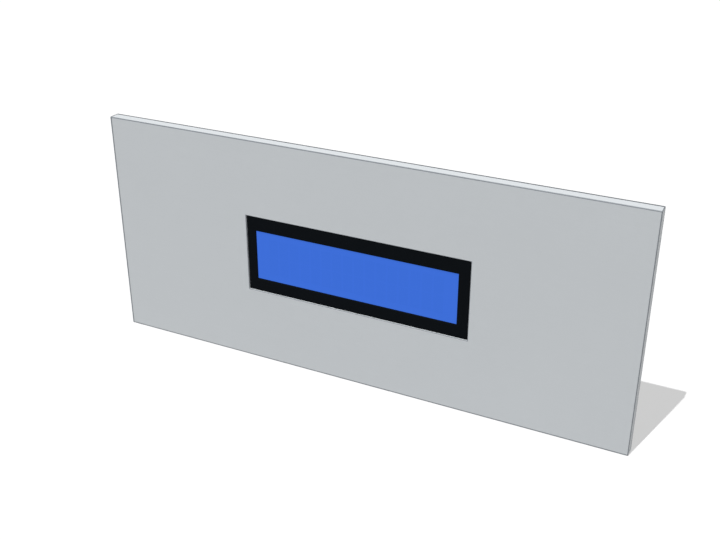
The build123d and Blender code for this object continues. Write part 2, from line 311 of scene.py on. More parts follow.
class NodeSheet:
    """Adds nodes to a material, a world or a group and joins them, by short calls."""

    def __init__(self, tree: bpy.types.NodeTree) -> None:
        """Keeps the tree that nodes go into."""
        self.tree = tree

    def add(self, kind: str, inputs: dict | None = None, **settings: object) -> bpy.types.Node:
        """Adds one node.

        Args:
            kind: Blender's name of the node type.
            inputs: Sockets or plain values, by input name or number.
            **settings: Properties of the node.

        Returns:
            The node.
        """
        node = self.tree.nodes.new(kind)
        for name, value in settings.items():
            setattr(node, name, value)
        for key, value in (inputs or {}).items():
            if isinstance(value, Socket):
                self.tree.links.new(value, node.inputs[key])
            else:
                node.inputs[key].default_value = value
        return node

    def math(self, operation: str, *values: Socket | float, clamp: bool = False) -> Socket:
        """Result of one Math node on these values."""
        node = self.add("ShaderNodeMath", dict(enumerate(values)), operation=operation, use_clamp=clamp)
        return node.outputs[0]

    def vector(self, operation: str, *values: Socket | tuple) -> Socket:
        """Result of one Vector Math node on these values."""
        return self.add("ShaderNodeVectorMath", dict(enumerate(values)), operation=operation).outputs[0]

    def blend(self, share: Socket | float, first: Socket | tuple, second: Socket | tuple) -> Socket:
        """Colour between two, where share is how much of the second there is."""
        node = self.add("ShaderNodeMix", {0: share, 6: first, 7: second}, data_type="RGBA")
        return node.outputs[2]

    def spread(self, value: Socket, low: float, high: float, to_low: float, to_high: float) -> Socket:
        """Value carried from one range to another, and held inside it."""
        node = self.add("ShaderNodeMapRange", {0: value, 1: low, 2: high, 3: to_low, 4: to_high})
        return node.outputs[0]

    def noise(self, place: Socket, scale: Socket | float, detail: float) -> Socket:
        """Smooth noise from 0 to 1 at a place."""
        node = self.add("ShaderNodeTexNoise", {"Vector": place, "Scale": scale, "Detail": detail})
        return node.outputs[0]

    def group(self, tree: bpy.types.NodeTree, **inputs: object) -> bpy.types.Node:
        """Adds a node group with its inputs, an underscore standing for a space in a name."""
        named = {name.replace("_", " "): value for name, value in inputs.items()}
        return self.add("ShaderNodeGroup", named, node_tree=tree)

    def mix(self, share: Socket, first: bpy.types.Node, second: bpy.types.Node) -> Socket:
        """Mixture of two shaders, where share is how much of the second there is."""
        ends = {0: share, 1: first.outputs[0], 2: second.outputs[0]}
        return self.add("ShaderNodeMixShader", ends).outputs[0]


def new_group(
    name: str, inputs: dict[str, str], outputs: dict[str, str]
) -> tuple[NodeSheet, dict[str, Socket], bpy.types.Node]:
    """Starts a shader node group.

    Args:
        name: The group's name.
        inputs: Socket type of each input by name.
        outputs: Socket type of each output by name.

    Returns:
        The group's sheet, its input sockets by name, and its output node.
    """
    tree = bpy.data.node_groups.new(name, "ShaderNodeTree")
    for label, kind in inputs.items():
        tree.interface.new_socket(label, in_out="INPUT", socket_type="NodeSocket" + kind)
    for label, kind in outputs.items():
        tree.interface.new_socket(label, in_out="OUTPUT", socket_type="NodeSocket" + kind)
    given = tree.nodes.new("NodeGroupInput")
    found = tree.nodes.new("NodeGroupOutput")
    return NodeSheet(tree), {label: given.outputs[label] for label in inputs}, found


@functools.cache
def surface_grain() -> bpy.types.NodeTree:
    """Fine marks of a surface, with a slow drift.

    Returns:
        A group whose Grain and Drift run from 0 to 1 about a middle of 0.5.
    """
    sheet, given, found = new_group(
        "SurfaceGrain",
        {"Place": "Vector", "Stretch": "Vector", "Scale": "Float", "Drift Scale": "Float"},
        {"Grain": "Float", "Drift": "Float"},
    )
    place = sheet.vector("MULTIPLY", given["Place"], given["Stretch"])
    grain = sheet.noise(place, given["Scale"], GRAIN_DETAIL)
    drift = sheet.noise(given["Place"], given["Drift Scale"], DRIFT_DETAIL)
    sheet.tree.links.new(grain, found.inputs["Grain"])
    sheet.tree.links.new(drift, found.inputs["Drift"])
    return sheet.tree


@functools.cache
def tone_drift() -> bpy.types.NodeTree:
    """Makes a colour a little lighter and darker by two patterns.

    Returns:
        A group: colour * (1 + amount * (grain + drift - 1)).
    """
    sheet, given, found = new_group(
        "ToneDrift",
        {"Colour": "Color", "Grain": "Float", "Drift": "Float", "Amount": "Float"},
        {"Colour": "Color"},
    )
    both = sheet.math("SUBTRACT", sheet.math("ADD", given["Grain"], given["Drift"]), 1.0)
    factor = sheet.math("MULTIPLY_ADD", both, given["Amount"], 1.0)
    scaled = sheet.add("ShaderNodeVectorMath", {0: given["Colour"], 3: factor}, operation="SCALE")
    sheet.tree.links.new(scaled.outputs[0], found.inputs["Colour"])
    return sheet.tree


@functools.cache
def box_reach() -> bpy.types.NodeTree:
    """Counts on how many axes a place lies further from a middle than a half size.

    Returns:
        A group whose Outside is 0, 1, 2 or 3.
    """
    sheet, given, found = new_group(
        "BoxReach",
        {"Place": "Vector", "Middle": "Vector", "Half Size": "Vector"},
        {"Outside": "Float"},
    )
    offset = sheet.vector("ABSOLUTE", sheet.vector("SUBTRACT", given["Place"], given["Middle"]))
    beyond = sheet.add("ShaderNodeSeparateXYZ", {0: sheet.vector("SUBTRACT", offset, given["Half Size"])})
    steps = [sheet.math("GREATER_THAN", beyond.outputs[axis], 0.0) for axis in range(3)]
    count = sheet.math("ADD", sheet.math("ADD", steps[0], steps[1]), steps[2])
    sheet.tree.links.new(count, found.inputs["Outside"])
    return sheet.tree


@functools.cache
def comb() -> bpy.types.NodeTree:
    """Repeats a band along one coordinate.

    Returns:
        A group whose Rest is the coordinate's remainder by the pitch, and whose Band is 1 where
        that remainder is under the width.
    """
    sheet, given, found = new_group(
        "Comb",
        {"Coordinate": "Float", "Pitch": "Float", "Width": "Float"},
        {"Rest": "Float", "Band": "Float"},
    )
    rest = sheet.math("FLOORED_MODULO", given["Coordinate"], given["Pitch"])
    sheet.tree.links.new(rest, found.inputs["Rest"])
    sheet.tree.links.new(sheet.math("LESS_THAN", rest, given["Width"]), found.inputs["Band"])
    return sheet.tree


# Finishes


class Grain(Enum):
    """Which way a finish's fine marks run, as a stretch of the place along x, y and z."""

    EVEN = (1.0, 1.0, 1.0)
    ALONG_X = (0.03, 1.0, 1.0)
    ALONG_Y = (1.0, 0.05, 1.0)


@dataclass(frozen=True)
class Finish:
    """How one kind of surface looks. Scales are per millimetre and the bump's depth is in millimetres."""

    name: str
    slot: str
    colour: tuple[int, int, int]
    roughness: float = 0.5
    metallic: float = 0.0
    specular: float = 0.5
    coat: float = 0.0
    transmission: float = 0.0
    tone: float = 0.12
    rough_spread: float = 0.08
    grain: Grain = Grain.EVEN
    grain_scale: float = 3.0
    drift_scale: float = 0.12
    bump: float = 0.004

    def paint(self, sheet: NodeSheet, place: Socket, base: Socket) -> Socket:
        """Base colour with the finish's own marks. The plain finish has none."""
        return base

    def extra(self, sheet: NodeSheet, shader: bpy.types.Node, colour: Socket) -> None:
        """Further settings of the shader. The plain finish has none."""

    def build(self) -> bpy.types.Material:
        """Makes the material.

        Returns:
            A material that reads Object coordinates, which are the frame's own.
        """
        material = bpy.data.materials.new(self.name)
        material.use_nodes = True
        material.diffuse_color = light(self.colour)
        sheet = NodeSheet(material.node_tree)
        shader = material.node_tree.nodes["Principled BSDF"]
        spot = sheet.add("ShaderNodeTexCoord").outputs["Object"]
        place = sheet.add("ShaderNodeVectorMath", {0: spot, 3: 1 / MM}, operation="SCALE").outputs[0]
        marks = sheet.group(
            surface_grain(),
            Place=place,
            Stretch=self.grain.value,
            Scale=self.grain_scale,
            Drift_Scale=self.drift_scale,
        )
        grain, drift = marks.outputs["Grain"], marks.outputs["Drift"]
        tone = sheet.group(
            tone_drift(), Colour=light(self.colour), Grain=grain, Drift=drift, Amount=self.tone
        )
        colour = self.paint(sheet, place, tone.outputs["Colour"])
        low, high = self.roughness - self.rough_spread, self.roughness + self.rough_spread
        bump = sheet.add("ShaderNodeBump", {"Height": grain, "Distance": self.bump * MM, "Strength": 1.0})
        sheet.tree.links.new(colour, shader.inputs["Base Color"])
        sheet.tree.links.new(sheet.spread(drift, *DRIFT_RANGE, low, high), shader.inputs["Roughness"])
        sheet.tree.links.new(bump.outputs["Normal"], shader.inputs["Normal"])
        shader.inputs["Metallic"].default_value = self.metallic
        shader.inputs["Specular IOR Level"].default_value = self.specular
        shader.inputs["Coat Weight"].default_value = self.coat
        shader.inputs["Transmission Weight"].default_value = self.transmission
        self.extra(sheet, shader, colour)
        return material


@dataclass(frozen=True)
class PanelFinish(Finish):
    """Anodised plate with painted shade: its broken edges, and a hair of each face beside them, are painted
    darker.
    """

    middle: tuple[float, float, float] = (0.0, 0.0, 0.0)
    half_size: tuple[float, float, float] = (1.0, 1.0, 1.0)
    cut_half_size: tuple[float, float, float] = (1.0, 1.0, 1.0)
    cut_middle: tuple[float, float, float] = (0.0, 0.0, 0.0)
    # Painted shade: colour of the dark lines along the edges, and of the darker line on the top's back edge
    # and left end
    edge_shade_colour: tuple[int, int, int] = (122, 127, 132)
    top_shade_colour: tuple[int, int, int] = (74, 78, 84)
    top_z: float = 0.0
    top_y: float = 0.0
    left_x: float = 0.0

    def paint(self, sheet: NodeSheet, place: Socket, base: Socket) -> Socket:
        """Paints shade on the bevels: places beyond the flat faces on two axes, and those round the
        cut-out.

        A place is on an outer edge where it counts as outside on two axes or three, and on the
        cut-out's where it counts as outside on none. The top's back edge and left end, which the
        light falls on most, get darker painted shade still to offset that light, and the back edge's line
        goes further over the top.

        Args:
            sheet: Where the nodes go.
            place: Place in millimetres.
            base: Colour of the flat faces.

        Returns:
            The whole plate's colour, with its painted shade.
        """
        corner = sheet.group(box_reach(), Place=place, Middle=self.middle, Half_Size=self.half_size)
        outer = sheet.math("GREATER_THAN", corner.outputs[0], 1.5)
        mouth = sheet.group(box_reach(), Place=place, Middle=self.cut_middle, Half_Size=self.cut_half_size)
        inner = sheet.math("LESS_THAN", mouth.outputs[0], 0.5)
        parts = sheet.add("ShaderNodeSeparateXYZ", {0: place}).outputs
        behind = sheet.math("GREATER_THAN", parts[1], 0.0)
        far = sheet.math("MAXIMUM", behind, sheet.math("LESS_THAN", parts[0], self.left_x))
        top = sheet.math("GREATER_THAN", parts[2], self.top_z)
        on_top = sheet.math("MULTIPLY", far, top)
        back_top = sheet.math("MULTIPLY", top, sheet.math("GREATER_THAN", parts[1], self.top_y))
        # Painted shade lines, darker still where the light falls most, on the top's back edge and left end
        line = sheet.blend(on_top, light(self.edge_shade_colour), light(self.top_shade_colour))
        edges = sheet.math("MAXIMUM", outer, sheet.math("MAXIMUM", inner, back_top))
        return sheet.blend(edges, base, line)


@dataclass(frozen=True)
class ScreenFinish(Finish):
    """Blue polariser, lit from behind, with the faint cells of two lines of sixteen characters."""

    centre: tuple[float, float] = (0.0, 0.0)
    glow: float = 0.9
    face_share: float = 0.12
    columns: int = 16
    lines: int = 2
    cell_pitch: tuple[float, float] = (3.55, 5.95)
    dot_pitch: tuple[float, float] = (0.60, 0.70)
    dot_size: tuple[float, float] = (0.55, 0.65)
    dots: tuple[int, int] = (5, 8)
    dot_colour: tuple[int, int, int] = (58, 107, 212)

    def bands(self, sheet: NodeSheet, along: Socket, axis: int, count: int) -> Socket:
        """Mask of the dots along one axis.

        Args:
            sheet: Where the nodes go.
            along: Distance from the first cell's edge.
            axis: 0 along a line of characters, 1 across the lines.
            count: Cells along this axis.

        Returns:
            1 inside a dot's band in one of the cells.
        """
        pitch, dot = self.cell_pitch[axis], self.dot_pitch[axis]
        cell = sheet.group(comb(), Coordinate=along, Pitch=pitch, Width=dot * self.dots[axis])
        dots = sheet.group(comb(), Coordinate=cell.outputs["Rest"], Pitch=dot, Width=self.dot_size[axis])
        inside = sheet.math("LESS_THAN", along, pitch * count)
        after = sheet.math("GREATER_THAN", along, 0.0)
        first = sheet.math("MULTIPLY", cell.outputs["Band"], dots.outputs["Band"])
        return sheet.math("MULTIPLY", first, sheet.math("MULTIPLY", inside, after))

    def paint(self, sheet: NodeSheet, place: Socket, base: Socket) -> Socket:
        """Colours the dots, which show only as a hint while they are off.

        Args:
            sheet: Where the nodes go.
            place: Place in millimetres.
            base: Colour between the dots.

        Returns:
            The whole screen's colour.
        """
        parts = sheet.add("ShaderNodeSeparateXYZ", {0: place})
        counts = (self.columns, self.lines)
        masks = []
        for axis, output in enumerate((0, 2)):
            gap = self.cell_pitch[axis] - self.dot_pitch[axis] * self.dots[axis]
            start = self.centre[axis] - (self.cell_pitch[axis] * counts[axis] - gap) / 2
            along = sheet.math("SUBTRACT", parts.outputs[output], start)
            masks.append(self.bands(sheet, along, axis, counts[axis]))
        return sheet.blend(sheet.math("MULTIPLY", *masks), base, light(self.dot_colour))

    def extra(self, sheet: NodeSheet, shader: bpy.types.Node, colour: Socket) -> None:
        """Lets the backlight shine through the colour, and darkens what the film itself reflects.

        Args:
            sheet: Where the nodes go.
            shader: The screen's shader.
            colour: The screen's colour.
        """
        sheet.tree.links.new(colour, shader.inputs["Emission Color"])
        film = sheet.blend(self.face_share, BLACK, colour)
        sheet.tree.links.new(film, shader.inputs["Base Color"])
        shader.inputs["Emission Strength"].default_value = self.glow


@dataclass(frozen=True)
class BoardFinish(Finish):
    """Laminate under a solder mask, with its glass weave, and bare at the sawn edges."""

    half_size: tuple[float, float, float] = (1.0, 1.0, 1.0)
    middle: tuple[float, float, float] = (0.0, 0.0, 0.0)
    core_colour: tuple[int, int, int] = (178, 158, 104)
    weave_colour: tuple[int, int, int] = (28, 104, 62)
    weave_scale: float = 1.15
    weave_wobble: float = 0.6
    weave_detail: float = 1.0
    weave_share: float = 0.35

    def paint(self, sheet: NodeSheet, place: Socket, base: Socket) -> Socket:
        """Adds the weave to the mask's colour and bares the edges.

        The weave is the product of two waves, one along X and one along Z.

        Args:
            sheet: Where the nodes go.
            place: Place in millimetres.
            base: Colour of the mask.

        Returns:
            The whole board's colour.
        """
        wave = {
            "Vector": place,
            "Scale": self.weave_scale,
            "Distortion": self.weave_wobble,
            "Detail": self.weave_detail,
        }
        waves = [sheet.add("ShaderNodeTexWave", wave, bands_direction=way).outputs[1] for way in ("X", "Z")]
        share = sheet.math("MULTIPLY", sheet.math("MULTIPLY", *waves), self.weave_share)
        woven = sheet.blend(share, base, light(self.weave_colour))
        reach = sheet.group(box_reach(), Place=place, Middle=self.middle, Half_Size=self.half_size)
        sawn = sheet.math("GREATER_THAN", reach.outputs[0], 0.5)
        return sheet.blend(sawn, woven, light(self.core_colour))


@dataclass(frozen=True)
class ResistorFinish(Finish):
    """White ceramic with a black glaze on its outer face."""

    glaze_y: float = 0.0
    glaze_colour: tuple[int, int, int] = (24, 24, 27)

    def paint(self, sheet: NodeSheet, place: Socket, base: Socket) -> Socket:
        """Colours what is further back than the glaze's edge."""
        y = sheet.add("ShaderNodeSeparateXYZ", {0: place}).outputs[1]
        return sheet.blend(sheet.math("GREATER_THAN", y, self.glaze_y), base, light(self.glaze_colour))


BLACK_PAINT = Finish(
    "black_bezel_paint", "bezel", (12, 15, 18), 0.55, specular=0.012, tone=0.3, grain_scale=5.0
)
GLASS = Finish(
    "clear_glass",
    "glass",
    (225, 240, 238),
    0.04,
    transmission=1.0,
    tone=0.02,
    rough_spread=0.01,
    bump=0.0,
)
AMBER_RESIN = Finish("amber_seal", "resin_plug", (214, 196, 130), 0.25)
FILM = Finish("milky_film", "film", (236, 240, 240), 0.35, specular=0.3, tone=0.04)
ACRYLIC = Finish(
    "clear_acrylic", "light_guide", (232, 244, 248), 0.1, transmission=0.85, tone=0.03, rough_spread=0.03
)
WHITE_TRAY = Finish("white_tray", "tray", (234, 234, 229), 0.55, tone=0.05, bump=0.006)
PINK_RUBBER = Finish(
    "pink_contact_strip", "contact_strip", (216, 158, 168), 0.6, specular=0.3, grain_scale=5.0
)
WHITE_BOARD = Finish("white_led_board", "led_board", (234, 234, 226), 0.35, coat=0.2, tone=0.05)
PHOSPHOR = Finish("yellow_phosphor", "led", (238, 222, 120), 0.4, tone=0.1)
TINNED = Finish("tinned_lead", "lead", (205, 205, 203), 0.28, 1.0, tone=0.15, grain_scale=6.0)
GOLD = Finish(
    "gold_pin", "pin", (226, 196, 130), 0.3, 1.0, tone=0.12, grain=Grain.ALONG_Y, grain_scale=9.0
)
BLACK_NYLON = Finish(
    "black_insulator", "insulator", (22, 22, 23), 0.48, specular=0.4, tone=0.3, bump=0.008
)
BLACK_RESIN = Finish(
    "glossy_resin",
    "resin",
    (11, 11, 12),
    0.16,
    specular=0.3,
    coat=0.1,
    grain_scale=0.5,
    rough_spread=0.05,
    bump=0.02,
)
TAN_CERAMIC = Finish("tan_ceramic", "capacitor", (168, 132, 96), 0.42, tone=0.15, grain_scale=8.0)
STUD_METAL = Finish("bright_stud", "stud", (206, 208, 210), 0.3, 1.0, tone=0.12, grain_scale=6.0)
NYLON = Finish(
    "natural_nylon", "sleeve", (226, 221, 205), 0.42, tone=0.06, grain=Grain.ALONG_Y, grain_scale=6.0
)
ZINC = Finish(
    "zinc_plate", "fastener", (196, 200, 204), 0.3, 1.0, tone=0.2, grain_scale=4.0, drift_scale=0.8
)
TRACE_MASK = Finish(
    "masked_copper", "board", (30, 118, 66), 0.3, coat=0.3, tone=0.15, grain_scale=5.0
)
LEGEND = Finish("white_legend", "board", (226, 229, 224), 0.5, tone=0.08, grain_scale=9.0)


# Pieces


class Cover(IntEnum):
    """Which resin cover, as the sign of its x."""

    LEFT = -1
    RIGHT = 1


@functools.cache
def material_of(finish: Finish) -> bpy.types.Material:
    """The one material of a finish."""
    return finish.build()


def put_in_scene(name: str, data: bpy.types.ID) -> bpy.types.Object:
    """Makes an object of a mesh, a camera or a lamp, at the origin.

    Args:
        name: The object's name.
        data: What it shows.

    Returns:
        The object, linked to the scene.
    """
    made = bpy.data.objects.new(name, data)
    bpy.context.scene.collection.objects.link(made)
    return made


def dress(finish: Finish, *names: str) -> None:
    """Gives CAD nodes a finish.

    Args:
        finish: The finish.
        *names: The nodes.
    """
    for name in names:
        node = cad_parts[name]
        for place in node.material_slots:
            place.material = material_of(finish)
        LOG.info("%s dressed in %s", name, finish.name)


def add_piece(name: str, shape: Shape, finish: Finish, *stands_for: str, bevel: float = 0.0) -> None:
    """Makes a piece of the object from a shape, at the origin and riding on the body.

    Args:
        name: The piece's name.
        shape: Its points and faces, in millimetres.
        finish: Its finish.
        *stands_for: CAD nodes that the piece replaces.
        bevel: Width in millimetres of a bevel on sharp edges, or 0 for none.
    """
    mesh = bpy.data.meshes.new(name)
    faces = [face for block in shape.faces for face in block.tolist()]
    mesh.from_pydata((shape.points * MM).tolist(), [], faces)
    work = bmesh.new()
    work.from_mesh(mesh)
    bmesh.ops.remove_doubles(work, verts=work.verts, dist=MERGE_DISTANCE)
    bmesh.ops.dissolve_degenerate(work, edges=work.edges, dist=MERGE_DISTANCE)
    bmesh.ops.recalc_face_normals(work, faces=work.faces)
    work.to_mesh(mesh)
    work.free()
    mesh.shade_smooth()
    mesh.set_sharp_from_angle(angle=SHARP_ANGLE)
    mesh.materials.append(material_of(finish))
    piece = put_in_scene(name, mesh)
    if bevel:
        edges = piece.modifiers.new("edges", "BEVEL")
        edges.width = bevel * MM
        edges.segments = BEVEL_STEPS
        edges.angle_limit = SHARP_ANGLE
    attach(piece, BODY)
    if stands_for:
        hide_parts(*stands_for)
    LOG.info("%s made with %d points", name, len(mesh.vertices))


@dataclass
class FrontPanel:
    """The plain plate with the display's cut-out. Its dark edge lines are painted shade, a band on the
    faces.
    """

    edge_band: tuple[float, float, float] = (0.42, 0.43, 0.36)
    band_shift: tuple[float, float, float] = (0.18, -0.23, 0.05)
    cutout_width: float = 71.4
    cutout_height: float = 24.4
    cutout_break: float = 0.1
    cutout_line: float = 0.1
    mask_margin: float = 0.004
    left_end: float = 1.0
    top_band: float = 0.8

    def build(self) -> None:
        """Dresses the plate."""
        low, high = (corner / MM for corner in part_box("front_panel"))
        middle, half = (low + high) / 2, (high - low) / 2
        flat = half - Vector(self.edge_band)
        reach = self.cutout_break + self.cutout_line
        depth = self.cutout_break - self.mask_margin
        cut_half = (self.cutout_width / 2 + reach, depth, self.cutout_height / 2 + reach)
        # The finish paints shade as dark bands along the plate's edges and round the cut-out
        finish = PanelFinish(
            "satin_anodised_plate",
            "panel",
            (187, 191, 194),
            roughness=0.5,
            specular=0.2,
            tone=0.035,
            rough_spread=0.05,
            grain=Grain.ALONG_X,
            grain_scale=5.0,
            drift_scale=0.03,
            bump=0.002,
            middle=tuple(middle + Vector(self.band_shift)),
            half_size=tuple(flat),
            cut_middle=(middle.x, low.y, middle.z),
            cut_half_size=cut_half,
            top_z=high.z - self.mask_margin,
            top_y=high.y - self.top_band,
            left_x=low.x + self.left_end,
        )
        dress(finish, "front_panel")


@dataclass
class Display:
    """The bezel and the cell in it: glass, films, seal and contact strips."""

    screen_colour: tuple[int, int, int] = (59, 108, 214)

    def build(self) -> None:
        """Dresses the bezel and the cell."""
        low, high = (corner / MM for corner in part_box("front_polariser"))
        centre = ((low.x + high.x) / 2, (low.z + high.z) / 2)
        screen = ScreenFinish(
            "lit_blue_polariser",
            "display_face",
            self.screen_colour,
            roughness=0.4,
            specular=0.05,
            tone=0.02,
            grain_scale=8.0,
            bump=0.001,
            centre=centre,
        )
        dress(BLACK_PAINT, "metal_bezel")
        dress(screen, "front_polariser")
        dress(GLASS, "front_glass", "rear_glass")
        dress(AMBER_RESIN, "fill_port_plug")
        dress(FILM, "rear_polariser")
        dress(PINK_RUBBER, "contact_strip_top", "contact_strip_bottom")


def solder_fillets(
    places: np.ndarray,
    base: float,
    height: float,
    foot: float,
    top: float,
    hollow: float = 2.4,
    rows: int = 9,
    columns: int = 24,
) -> Shape:
    """Makes the hollow cones that solder forms round pins.

    The radius falls from the foot to the top as a power of one less the share of the height, so the
    side curves inwards.

    Args:
        places: One (x, z) for each pin.
        base: Y of the board's face.
        height: Height of each, negative towards the panel.
        foot: Radius at the board.
        top: Radius at the pin.
        hollow: The power.
        rows: Points up the side.
        columns: Points round the pin.

    Returns:
        The shape of all the fillets.
    """
    share = np.linspace(0, 1, rows)
    radii = np.concatenate([[0], top + (foot - top) * (1 - share) ** hollow, [0]])
    heights = base + height * np.concatenate([[0], share, [1]])
    return turned(places, radii, heights, columns, False)


@dataclass(frozen=True)
class PinHeader:
    """The row of pins in its insulator, and their solder on the board's front."""

    start: float = -32.0
    pitch: float = 2.54
    count: int = 16
    z: float = 15.5
    land_radii: tuple[float, float] = (0.4, 0.98)
    land_depth: float = 0.05
    land_edge: float = 0.02
    land_columns: int = 28
    joint_height: float = -0.95
    joint_radii: tuple[float, float] = (0.86, 0.44)

    def build(self) -> None:
        """Dresses the insulator and the pins, and solders each pin."""
        dress(BLACK_NYLON, "header_insulator")
        dress(GOLD, "header_pins")
        front = (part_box("circuit_board")[0] / MM).y
        add_piece("pin_lands", self.lands(front), TINNED)

    def xs(self) -> np.ndarray:
        """X of each pin."""
        return self.start + self.pitch * np.arange(self.count)

    def lands(self, front: float) -> Shape:
        """A round land and a hollow cone of solder at each pin.

        Args:
            front: Y of the board's front face.

        Returns:
            All the lands and cones.
        """
        places = from_middle([(x, self.z) for x in self.xs()])
        radii, heights = rim_profile(*self.land_radii, front - self.land_depth, front, self.land_edge)
        rings = turned(places, radii, heights, self.land_columns, True)
        cones = solder_fillets(places, front, self.joint_height, *self.joint_radii)
        return Shape.joined([rings, cones])


@dataclass
class CircuitBoard:
    """The board with its tracks, vias and printed legend. Places are from the display's middle."""

    header: PinHeader
    half_width: float = 40.0
    half_height: float = 18.0
    edge_skin: float = 0.006
    # Tracks in general
    track_width: float = 0.34
    track_height: float = 0.04
    levels: int = 11
    level_step: float = 0.0008
    rim_radius: float = 7.0
    corner_cut: float = 1.2
    # Tracks from the header to the left cover, with the level run of each outer one
    track_start: float = 1.0
    bend_z: float = 13.7
    slot_xs: tuple[float, float] = (-23.733, 0.0)
    slot_reach: float = 1.95
    slot_detour: float = 2.35
    left_levels: tuple[float, ...] = (-4.6, -2.4, -0.2, 2.0)
    straight_pins: int = 5
    right_levels: tuple[float, ...] = (3.6, 2.9, 2.2, 1.5, 0.8)
    # Wide tracks of the supply and the backlight, past their first bends
    supply_width: float = 0.7
    supply_height: float = 0.048
    supply_bends: tuple[float, float] = (10.4, 11.6)
    chips_route: tuple[Point, ...] = ((29.8, 9.2), (31.0, 8.0), (31.0, -3.2), (29.9, -4.3), (28.4, -4.3))
    lead_route: tuple[Point, ...] = ((33.0, 10.4), (34.2, 9.2), (34.2, 5.2), (35.4, 4.0), (38.05, 4.0))
    return_route: tuple[Point, ...] = (
        (26.2, -4.5),
        (25.2, -5.5),
        (25.2, -7.2),
        (26.2, -8.2),
        (33.0, -8.2),
        (34.2, -7.0),
        (34.2, -5.2),
        (35.4, -4.0),
        (38.05, -4.0),
    )
    # Tracks between the covers and to the chip parts
    bus_levels: tuple[float, ...] = (-3.7, -4.4, -5.1, -5.8, -6.5)
    link_levels: tuple[float, float] = (-2.05, -0.35)
    ladder_end: float = 8.9
    side_land: float = 26.6
    rail_xs: tuple[float, float] = (28.3, 29.4)
    # Fans of tracks to rows of vias: cover, direction, level of the row and count
    fans: tuple[tuple[Cover, int, float, int], ...] = (
        (Cover.LEFT, -1, -10.3, 8),
        (Cover.RIGHT, -1, -10.3, 8),
        (Cover.RIGHT, 1, 7.6, 9),
    )
    via_pitch: float = 1.05
    via_stagger: float = 1.1
    via_radius: float = 0.4
    via_height: float = 0.07
    via_rows: int = 5
    via_columns: int = 14
    # Print
    print_width: float = 0.16
    print_height: float = 0.02
    box_height: float = 0.058
    box_long: float = 1.75
    box_short: float = 1.0
    header_margin: float = 2.0
    mark: tuple[Point, ...] = ((-1.6, 1.1), (-0.4, 1.8), (-1.6, 2.5))
    ring_radii: tuple[float, float] = (8.15, 8.32)
    ring_edge: float = 0.004
    ring_columns: int = 96

    def build(self) -> float:
        """Dresses the board and adds what is on its back.

        Returns:
            Y of the board's back face.
        """
        back = (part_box("circuit_board")[1] / MM).y
        finish = BoardFinish(
            "green_solder_mask",
            "board",
            (14, 82, 44),
            roughness=0.3,
            coat=0.3,
            tone=0.12,
            grain_scale=2.0,
            half_size=(self.half_width - self.edge_skin, 2 * back, self.half_height - self.edge_skin),
            middle=(0.0, 0.0, MIDDLE_Z),
        )
        dress(finish, "circuit_board")
        add_piece("masked_tracks", self.tracks(back), TRACE_MASK)
        add_piece("printed_legend", self.legend(back), LEGEND)
        return back

    def raised(self, lines: np.ndarray, back: float, width: float, height: float) -> Shape:
        """Strokes on the board's back, at heights a hair apart so that none that touch lie in one plane."""
        steps = height + self.level_step * (np.arange(len(lines)) % self.levels)
        return plates(from_middle(strokes(lines, width)), back, back + steps)

    def rim_x(self, cover: Cover, z: np.ndarray, side: int | np.ndarray) -> np.ndarray:
        """X where a level line ends under a resin cover, on its left (-1) or right (1)."""
        reach = np.sqrt(self.rim_radius**2 - (z - COVER_Z) ** 2)
        return cover * COVER_X + side * reach

    def rim_z(self, cover: Cover, x: np.ndarray, side: int) -> np.ndarray:
        """Z where an upright line ends under a resin cover, at its bottom (-1) or top (1)."""
        reach = np.sqrt(self.rim_radius**2 - (x - cover * COVER_X) ** 2)
        return COVER_Z + side * reach

    def header_tracks(self) -> np.ndarray:
        """Tracks from the header to the left cover.

        Each leaves its pin downwards and steps round the slots of the bezel's tabs. The outer ones
        turn by 45 degrees into a level run to the cover's side, nested so that none cross.

        Returns:
            Lines as (x, z, x, z).
        """
        x = self.header.xs()[:-2]
        slots = np.array(self.slot_xs)
        nearest = slots[np.abs(x[:, None] - slots).argmin(1)]
        offset = x - nearest
        detour = nearest + np.sign(offset) * self.slot_detour
        moved = np.where(np.abs(offset) < self.slot_reach, detour, x)
        start = np.full_like(x, self.header.z - self.track_start)
        bend = np.full_like(x, self.bend_z)
        low_bend = bend - np.abs(moved - x)
        turn = np.array([*self.left_levels, *[np.nan] * self.straight_pins, *self.right_levels])
        straight = np.isnan(turn)
        level = np.where(straight, 0.0, turn)
        side = np.where(moved < -COVER_X, -1, 1)
        end_x = self.rim_x(Cover.LEFT, level, side)
        cut = np.where(straight, 0.0, self.corner_cut)
        rim_z = self.rim_z(Cover.LEFT, np.where(straight, moved, -COVER_X), 1)
        down_end = np.where(straight, rim_z, level + cut)
        inner = moved - side * cut
        lines = [
            np.stack([x, start, x, bend], -1),
            np.stack([x, bend, moved, low_bend], -1),
            np.stack([moved, low_bend, moved, down_end], -1),
            np.stack([moved, down_end, inner, level], -1)[~straight],
            np.stack([inner, level, end_x, level], -1)[~straight],
        ]
        return np.concatenate(lines)

    def supply_tracks(self) -> np.ndarray:
        """Tracks of the last two pins to the chip parts and the backlight's leads at the right.

        Returns:
            Lines as (x, z, x, z).
        """
        top, cut = self.header.z - self.track_start, self.corner_cut
        routes = (self.chips_route, self.lead_route)
        lines = [
            [(x, top), (x, bend), (x + cut, bend - cut), *route]
            for x, bend, route in zip(self.header.xs()[-2:], self.supply_bends, routes)
        ]
        return runs(*lines, self.return_route)

